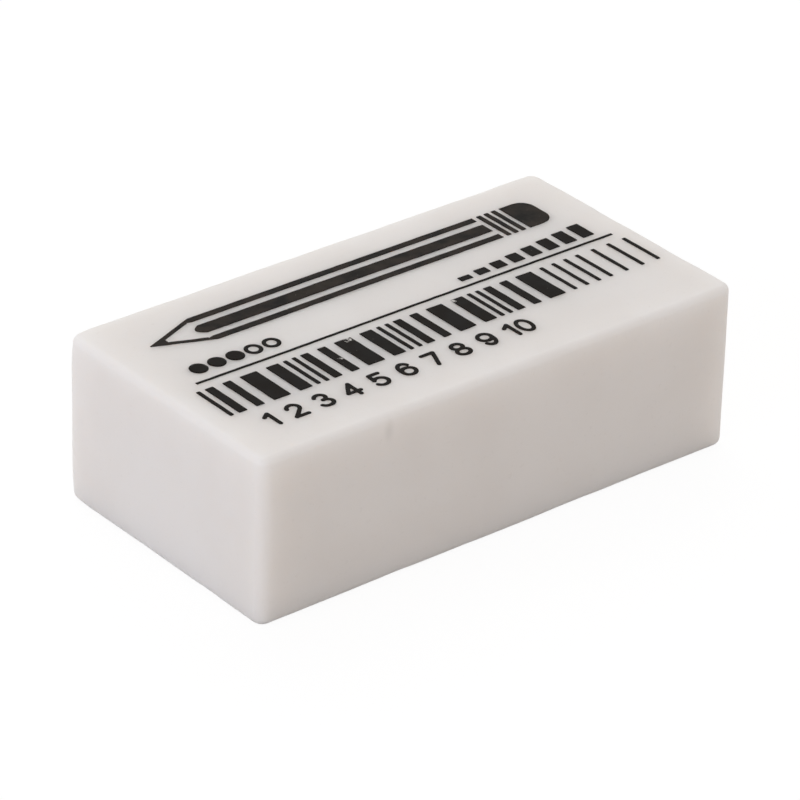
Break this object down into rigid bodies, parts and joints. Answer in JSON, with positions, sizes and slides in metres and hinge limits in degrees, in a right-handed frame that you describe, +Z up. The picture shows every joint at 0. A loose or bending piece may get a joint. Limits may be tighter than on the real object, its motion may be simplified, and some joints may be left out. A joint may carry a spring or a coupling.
{
  "type": "rubber eraser",
  "caption": "Small rectangular block eraser of soft white vinyl with lightly rounded edges and dark print on its top face.",
  "frame": {"origin": "middle of the face the block rests on", "axes": "+X along the length, in the reading direction of the print; +Y across the width, to the back; +Z up, through the printed face"},
  "size_m": [0.035, 0.0184, 0.0108],
  "materials": {
    "white_vinyl": "matte, slightly translucent soft vinyl",
    "printed_ink": "thin matte dark print"
  },
  "bodies": {
    "root": {"eraser_block": "white_vinyl"}
  },
  "joints": []
}
